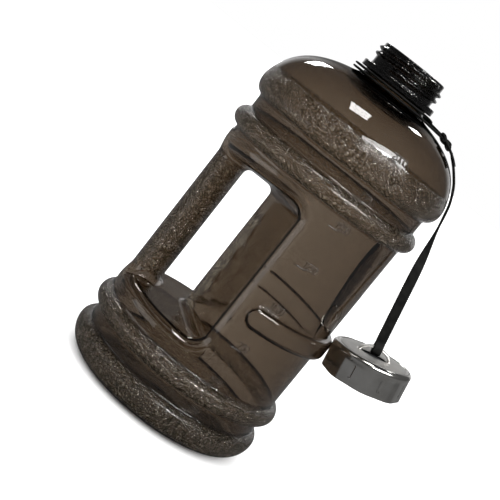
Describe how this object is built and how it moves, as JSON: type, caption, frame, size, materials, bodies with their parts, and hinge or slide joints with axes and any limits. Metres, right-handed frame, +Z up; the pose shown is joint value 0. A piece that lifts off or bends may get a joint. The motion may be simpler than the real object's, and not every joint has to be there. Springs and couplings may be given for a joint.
{
  "type": "large water jug",
  "caption": "Large translucent water jug with a screw neck, a hollow grip across a hand hole, grooved rings round its body, and a steel screw cap hanging on a flat braided lanyard.",
  "frame": {"origin": "middle of the whole object's footprint on the surface it stands on, with the hanging cap counted; the jug's own axis is the vertical line at x = -0.02625 m", "axes": "+Z up, through the mouth; -X towards the handle and +X towards the lanyard and cap; -Y is the front, with the graduations"},
  "size_m": [0.1871, 0.1346, 0.2562],
  "materials": {
    "smoke_plastic": "translucent smoke brown, smooth with leather-grained bands",
    "neck_plastic": "the same plastic, thick enough to look nearly black",
    "braid": "flat woven braid",
    "steel": "polished skirt and rolled edge, satin top",
    "liner_plastic": "satin moulded",
    "gasket_rubber": "matte silicone"
  },
  "bodies": {
    "jug": {"bottle_base": "smoke_plastic", "bottle_wall": "smoke_plastic", "bottle_handle": "smoke_plastic", "bottle_shoulder": "smoke_plastic", "bottle_neck": "neck_plastic"},
    "lanyard_loop": {"lanyard_neck_loop": "braid", "lanyard_knot": "braid", "lanyard_tail": "braid"},
    "lanyard": {"lanyard_run": "braid", "lanyard_cap_loop": "braid"},
    "cap": {"cap_shell": "steel", "cap_liner": "liner_plastic", "cap_gasket": "gasket_rubber"}
  },
  "joints": [
    {"name": "strap_turn", "type": "hinge", "parent": "jug", "child": "lanyard_loop", "pos_m": [-0.02625, 0, 0.2354], "axis": [0, 0, 1], "continuous": true},
    {"name": "strap_swing", "type": "hinge", "parent": "lanyard_loop", "child": "lanyard", "pos_m": [0.02235, 0, 0.2294], "axis": [0, -1, 0], "range_deg": [0, 95]},
    {"name": "cap_swing", "type": "hinge", "parent": "lanyard", "child": "cap", "pos_m": [0.06303, 0, 0.11], "axis": [0.9781, 0, 0.2079], "range_deg": [-85, 85]}
  ]
}
